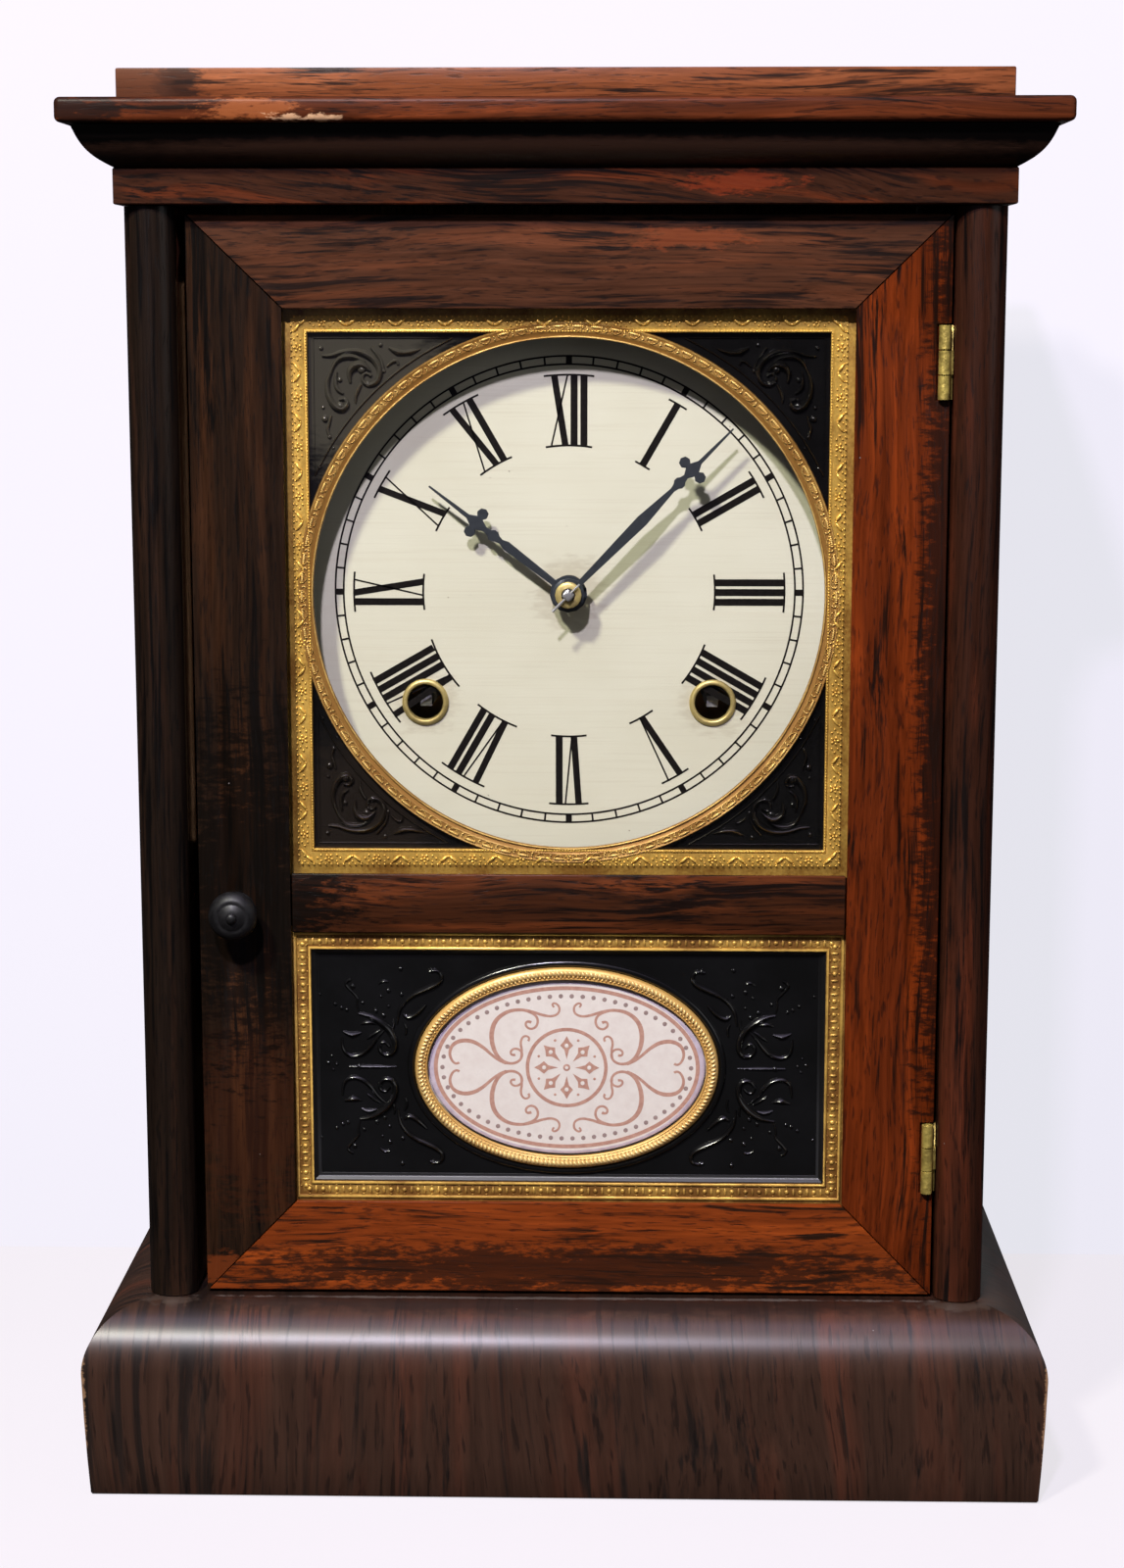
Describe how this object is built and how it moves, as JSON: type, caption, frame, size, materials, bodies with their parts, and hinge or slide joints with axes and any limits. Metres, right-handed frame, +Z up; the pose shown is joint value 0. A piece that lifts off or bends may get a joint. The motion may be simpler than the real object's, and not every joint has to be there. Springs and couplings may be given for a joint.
{
  "type": "cottage clock",
  "caption": "Veneered wooden mantel clock with half-round columns, a glazed hinged door, a gilt dial ring, a cream dial with Roman numerals, and a striking movement inside.",
  "frame": {"origin": "on the surface it stands on, under the middle of the whole clock", "axes": "+X to the clock's right as its front is looked at, +Y from the front to the back, +Z up"},
  "size_m": [0.2434, 0.123, 0.3548],
  "materials": {
    "rosewood": "satin varnish over rosewood veneer",
    "dark_rosewood": "satin varnish over dark rosewood veneer",
    "pine": "bare planed pine",
    "gilt": "embossed and lacquered gilt metal",
    "black_lacquer": "black satin lacquer on pressed sheet",
    "dial_paint": "aged cream paint on sheet metal",
    "tablet": "pinkish white enamel with printed lines",
    "glass": "clear window glass",
    "brass": "aged brass",
    "steel": "worked steel",
    "blued_steel": "blue-black steel",
    "ebonised": "turned wood stained black",
    "cast_iron": "rough black iron"
  },
  "bodies": {
    "case": {"base_front": "rosewood", "base_left": "rosewood", "base_right": "rosewood", "cornice_front": "dark_rosewood", "cornice_left": "dark_rosewood", "cornice_right": "dark_rosewood", "floor_board": "pine", "side_left": "rosewood", "side_right": "rosewood", "back_board": "pine", "cornice_slab": "rosewood", "top_block": "rosewood", "column_left": "dark_rosewood", "column_right": "dark_rosewood", "hinge_upper_case_leaf": "brass", "hinge_lower_case_leaf": "brass", "dial": "dial_paint", "grommet_left": "brass", "grommet_right": "brass", "dial_cleat_left": "pine", "dial_cleat_right": "pine", "front_plate": "brass", "back_plate": "brass", "movement_block": "pine", "gong_block": "cast_iron", "gong": "steel"},
    "door": {"stile_left": "rosewood", "stile_right": "rosewood", "top_rail": "rosewood", "middle_rail": "rosewood", "bottom_rail": "rosewood", "upper_glass": "glass", "upper_gilt_sash": "gilt", "spandrel_plate": "black_lacquer", "dial_ring": "gilt", "lower_gilt_sash": "gilt", "lower_panel": "black_lacquer", "oval_ring": "gilt", "oval_tablet": "tablet", "hinge_upper_door_leaf": "brass", "hinge_lower_door_leaf": "brass"},
    "latch": {"door_knob": "ebonised", "latch_tongue": "brass"},
    "minute": {"minute_hand": "blued_steel", "hand_taper_pin": "steel", "centre_arbor": "steel"},
    "hour": {"hour_hand": "blued_steel", "hour_wheel": "brass"},
    "motion_wheel": {"minute_wheel": "brass"},
    "time_second": {"time_second_wheel": "brass"},
    "time_great": {"time_great_wheel": "brass"},
    "time_winding": {"time_winding_arbor": "steel"},
    "strike_winding": {"strike_winding_arbor": "steel"},
    "strike_great": {"strike_great_wheel": "brass"},
    "strike_pin": {"strike_pin_wheel": "brass"},
    "escape": {"escape_wheel": "brass"},
    "anchor": {"verge": "steel"},
    "pendulum": {"pendulum_rod": "steel", "pendulum_bob": "brass"},
    "hammer": {"strike_hammer": "steel"}
  },
  "joints": [
    {"name": "door_hinge", "type": "hinge", "parent": "case", "child": "door", "pos_m": [0.0921, -0.04353, 0.185], "axis": [0, 0, 1], "range_deg": [0, 135]},
    {"name": "latch_turn", "type": "hinge", "parent": "door", "child": "latch", "pos_m": [-0.08255, -0.04272, 0.14875], "axis": [0, -1, 0], "range_deg": [0, 90]},
    {"name": "minute_spin", "type": "hinge", "parent": "case", "child": "minute", "pos_m": [0.0008, -0.03572, 0.2278], "axis": [0, 1, 0], "continuous": true},
    {"name": "hour_spin", "type": "hinge", "parent": "case", "child": "hour", "pos_m": [0.0008, -0.03313, 0.2278], "axis": [0, 1, 0], "continuous": true},
    {"name": "motion_wheel_spin", "type": "hinge", "parent": "case", "child": "motion_wheel", "pos_m": [0.00672, -0.006, 0.21667], "axis": [0, 1, 0], "continuous": true},
    {"name": "time_second_spin", "type": "hinge", "parent": "case", "child": "time_second", "pos_m": [0.01839, 0.01, 0.21871], "axis": [0, 1, 0], "continuous": true},
    {"name": "time_great_spin", "type": "hinge", "parent": "case", "child": "time_great", "pos_m": [0.03715, 0.02, 0.19985], "axis": [0, 1, 0], "continuous": true},
    {"name": "time_winding_turn", "type": "hinge", "parent": "case", "child": "time_winding", "pos_m": [0.03715, -0.02, 0.19985], "axis": [0, 1, 0], "continuous": true},
    {"name": "strike_winding_turn", "type": "hinge", "parent": "case", "child": "strike_winding", "pos_m": [-0.03555, -0.02, 0.19985], "axis": [0, 1, 0], "continuous": true},
    {"name": "strike_pin_spin", "type": "hinge", "parent": "case", "child": "strike_pin", "pos_m": [-0.03002, 0.01, 0.22587], "axis": [0, 1, 0], "continuous": true},
    {"name": "strike_great_spin", "type": "hinge", "parent": "case", "child": "strike_great", "pos_m": [-0.03555, 0.02, 0.19985], "axis": [0, 1, 0], "continuous": true},
    {"name": "escape_spin", "type": "hinge", "parent": "case", "child": "escape", "pos_m": [-0.0084, 0, 0.2628], "axis": [0, 1, 0], "continuous": true},
    {"name": "pendulum_swing", "type": "hinge", "parent": "case", "child": "pendulum", "pos_m": [-0.0084, -0.01852, 0.2818], "axis": [0, 1, 0], "range_deg": [-5, 5]},
    {"name": "verge_rock", "type": "hinge", "parent": "case", "child": "anchor", "pos_m": [-0.0084, 0, 0.2818], "axis": [0, 1, 0], "range_deg": [-5, 5]},
    {"name": "hammer_swing", "type": "hinge", "parent": "case", "child": "hammer", "pos_m": [-0.0122, 0.02, 0.1818], "axis": [0, 1, 0], "range_deg": [0, 12]}
  ],
  "couplings": [
    {"joint": "hour_spin", "follows": "minute_spin", "ratio": 0.083333},
    {"joint": "motion_wheel_spin", "follows": "minute_spin", "ratio": -0.33333},
    {"joint": "time_second_spin", "follows": "minute_spin", "ratio": -0.25},
    {"joint": "time_great_spin", "follows": "minute_spin", "ratio": 0.041667},
    {"joint": "strike_great_spin", "follows": "strike_pin_spin", "ratio": -0.16667},
    {"joint": "verge_rock", "follows": "pendulum_swing", "ratio": 1}
  ]
}
